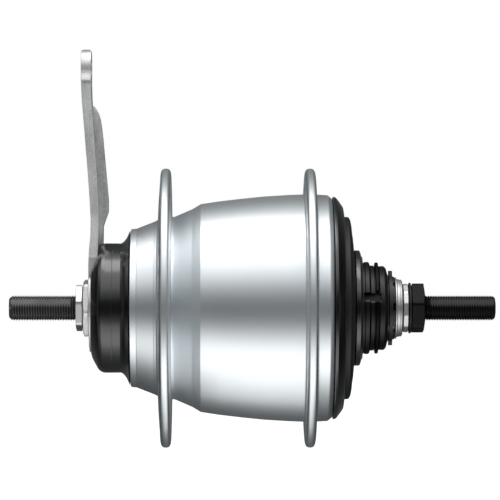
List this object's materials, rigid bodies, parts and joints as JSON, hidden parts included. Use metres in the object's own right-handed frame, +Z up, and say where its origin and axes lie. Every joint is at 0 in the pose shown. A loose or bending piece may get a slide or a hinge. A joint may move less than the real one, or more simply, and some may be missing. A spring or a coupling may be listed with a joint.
{
  "type": "bicycle hub gear",
  "caption": "Internal-gear bicycle rear hub with a coaster brake arm, spoke flanges, a sprocket driver, a shift ring and a threaded axle with flats.",
  "frame": {"origin": "on the axle's axis, midway between the two lock-nut faces that rest on the frame's dropouts", "axes": "+X along the axle towards the sprocket driver, +Z up along the brake arm, +Y completes the right-handed set"},
  "size_m": [0.184, 0.1056, 0.1507],
  "materials": {
    "axle_steel": "dark phosphated steel, fine rolled thread",
    "bright_steel": "bright nickel-plated steel",
    "zinc_steel": "grey zinc-plated stamped steel, slightly mottled",
    "shell_aluminium": "satin polished aluminium",
    "driver_steel": "dark hardened steel, satin",
    "black_steel": "black oxide steel",
    "gear_steel": "ground and oiled gear steel",
    "shoe_bronze": "bare bronze brake shoe",
    "black_plastic": "gloss black moulded plastic",
    "matte_black_plastic": "matt black moulded plastic",
    "black_rubber": "black moulded rubber"
  },
  "bodies": {
    "axle_assembly": {"axle": "axle_steel", "left_lock_nut": "bright_steel", "arm_nut": "zinc_steel", "brake_arm": "zinc_steel", "left_dust_cap": "black_plastic", "brake_cone": "gear_steel", "large_sun_gear": "gear_steel", "driver_cone": "gear_steel", "right_collar": "bright_steel", "cone_lock_nut": "bright_steel", "seal_washer": "black_rubber", "right_lock_nut": "black_steel", "shoe_return_spring": "gear_steel"},
    "hub_shell": {"hub_shell": "shell_aluminium", "left_ball_cup": "gear_steel", "brake_drum": "gear_steel", "right_ball_cup": "gear_steel", "right_dust_cap": "black_plastic", "right_dust_seal": "black_rubber"},
    "ring_gear": {"ring_gear": "gear_steel"},
    "planet_carrier": {"planet_carrier": "gear_steel", "planet_pin_1": "gear_steel", "planet_pin_2": "gear_steel", "planet_pin_3": "gear_steel"},
    "planet_1": {"planet_gear_1": "gear_steel"},
    "planet_2": {"planet_gear_2": "gear_steel"},
    "planet_3": {"planet_gear_3": "gear_steel"},
    "small_sun": {"small_sun_gear": "gear_steel"},
    "driver": {"driver": "driver_steel", "snap_ring": "black_steel", "driver_dust_cap": "black_plastic", "bearing_seal": "black_rubber"},
    "left_balls": {"left_balls": "gear_steel"},
    "right_balls": {"right_balls": "gear_steel"},
    "driver_balls": {"driver_balls": "gear_steel"},
    "shift_cam": {"shift_ring": "matte_black_plastic", "shift_sleeve": "driver_steel"},
    "brake_expander": {"brake_expander": "gear_steel"},
    "shoe_1": {"brake_shoe_1": "shoe_bronze"},
    "shoe_2": {"brake_shoe_2": "shoe_bronze"},
    "shoe_3": {"brake_shoe_3": "shoe_bronze"},
    "shell_pawl_1": {"shell_pawl_1": "gear_steel"},
    "shell_pawl_2": {"shell_pawl_2": "gear_steel"},
    "shell_pawl_3": {"shell_pawl_3": "gear_steel"},
    "sun_pawl": {"sun_pawl": "gear_steel"}
  },
  "joints": [
    {"name": "shell_spin", "type": "hinge", "parent": "axle_assembly", "child": "hub_shell", "pos_m": [0, 0, 0], "axis": [1, 0, 0], "continuous": true},
    {"name": "ring_spin", "type": "hinge", "parent": "axle_assembly", "child": "ring_gear", "pos_m": [0, 0, 0], "axis": [1, 0, 0], "continuous": true},
    {"name": "carrier_spin", "type": "hinge", "parent": "axle_assembly", "child": "planet_carrier", "pos_m": [0, 0, 0], "axis": [1, 0, 0], "continuous": true},
    {"name": "planet_1_spin", "type": "hinge", "parent": "planet_carrier", "child": "planet_1", "pos_m": [0, 0, 0.01995], "axis": [1, 0, 0], "continuous": true},
    {"name": "planet_2_spin", "type": "hinge", "parent": "planet_carrier", "child": "planet_2", "pos_m": [0, -0.01728, -0.00997], "axis": [1, 0, 0], "continuous": true},
    {"name": "planet_3_spin", "type": "hinge", "parent": "planet_carrier", "child": "planet_3", "pos_m": [0, 0.01728, -0.00997], "axis": [1, 0, 0], "continuous": true},
    {"name": "small_sun_spin", "type": "hinge", "parent": "axle_assembly", "child": "small_sun", "pos_m": [0, 0, 0], "axis": [1, 0, 0], "continuous": true},
    {"name": "driver_spin", "type": "hinge", "parent": "axle_assembly", "child": "driver", "pos_m": [0, 0, 0], "axis": [1, 0, 0], "continuous": true},
    {"name": "left_balls_spin", "type": "hinge", "parent": "axle_assembly", "child": "left_balls", "pos_m": [0, 0, 0], "axis": [1, 0, 0], "continuous": true},
    {"name": "right_balls_spin", "type": "hinge", "parent": "axle_assembly", "child": "right_balls", "pos_m": [0, 0, 0], "axis": [1, 0, 0], "continuous": true},
    {"name": "driver_balls_spin", "type": "hinge", "parent": "axle_assembly", "child": "driver_balls", "pos_m": [0, 0, 0], "axis": [1, 0, 0], "continuous": true},
    {"name": "shift_turn", "type": "hinge", "parent": "axle_assembly", "child": "shift_cam", "pos_m": [0.053, 0, 0], "axis": [1, 0, 0], "range_deg": [0, 96], "stiffness_Nm_per_rad": 0.02, "springref_deg": -11.46},
    {"name": "brake_slide", "type": "slide", "parent": "axle_assembly", "child": "brake_expander", "axis": [-1, 0, 0], "range_m": [0, 0.0015], "stiffness_N_per_m": 3000, "springref_m": -0.0006},
    {"name": "shoe_1_slide", "type": "slide", "parent": "axle_assembly", "child": "shoe_1", "axis": [0, 0, 1], "range_m": [0, 0.000525]},
    {"name": "shoe_2_slide", "type": "slide", "parent": "axle_assembly", "child": "shoe_2", "axis": [0, -0.866, -0.5], "range_m": [0, 0.000525]},
    {"name": "shoe_3_slide", "type": "slide", "parent": "axle_assembly", "child": "shoe_3", "axis": [0, 0.866, -0.5], "range_m": [0, 0.000525]},
    {"name": "shell_pawl_1_swing", "type": "hinge", "parent": "ring_gear", "child": "shell_pawl_1", "pos_m": [0.0126, 0, 0.0313], "axis": [1, 0, 0], "range_deg": [-12, 0], "stiffness_Nm_per_rad": 0.002, "springref_deg": 11.46},
    {"name": "shell_pawl_2_swing", "type": "hinge", "parent": "ring_gear", "child": "shell_pawl_2", "pos_m": [0.0126, -0.02711, -0.01565], "axis": [1, 0, 0], "range_deg": [-12, 0]},
    {"name": "shell_pawl_3_swing", "type": "hinge", "parent": "ring_gear", "child": "shell_pawl_3", "pos_m": [0.0126, 0.02711, -0.01565], "axis": [1, 0, 0], "range_deg": [-12, 0]},
    {"name": "sun_pawl_swing", "type": "hinge", "parent": "axle_assembly", "child": "sun_pawl", "pos_m": [-0.009, 0, 0.0066], "axis": [1, 0, 0], "range_deg": [0, 14], "stiffness_Nm_per_rad": 0.002, "springref_deg": -11.46}
  ],
  "couplings": [
    {"joint": "ring_spin", "follows": "shell_spin", "ratio": 1},
    {"joint": "carrier_spin", "follows": "shell_spin", "ratio": 0.6044},
    {"joint": "planet_1_spin", "follows": "shell_spin", "ratio": 1.0879},
    {"joint": "planet_2_spin", "follows": "shell_spin", "ratio": 1.0879},
    {"joint": "planet_3_spin", "follows": "shell_spin", "ratio": 1.0879},
    {"joint": "small_sun_spin", "follows": "shell_spin", "ratio": -0.84615},
    {"joint": "driver_spin", "follows": "shell_spin", "ratio": 0.6044},
    {"joint": "left_balls_spin", "follows": "shell_spin", "ratio": 0.55587},
    {"joint": "right_balls_spin", "follows": "shell_spin", "ratio": 0.81951},
    {"joint": "driver_balls_spin", "follows": "shell_spin", "ratio": 0.35922},
    {"joint": "shoe_1_slide", "follows": "brake_slide", "ratio": 0.35},
    {"joint": "shoe_2_slide", "follows": "brake_slide", "ratio": 0.35},
    {"joint": "shoe_3_slide", "follows": "brake_slide", "ratio": 0.35},
    {"joint": "shell_pawl_2_swing", "follows": "shell_pawl_1_swing", "ratio": 1},
    {"joint": "shell_pawl_3_swing", "follows": "shell_pawl_1_swing", "ratio": 1}
  ]
}
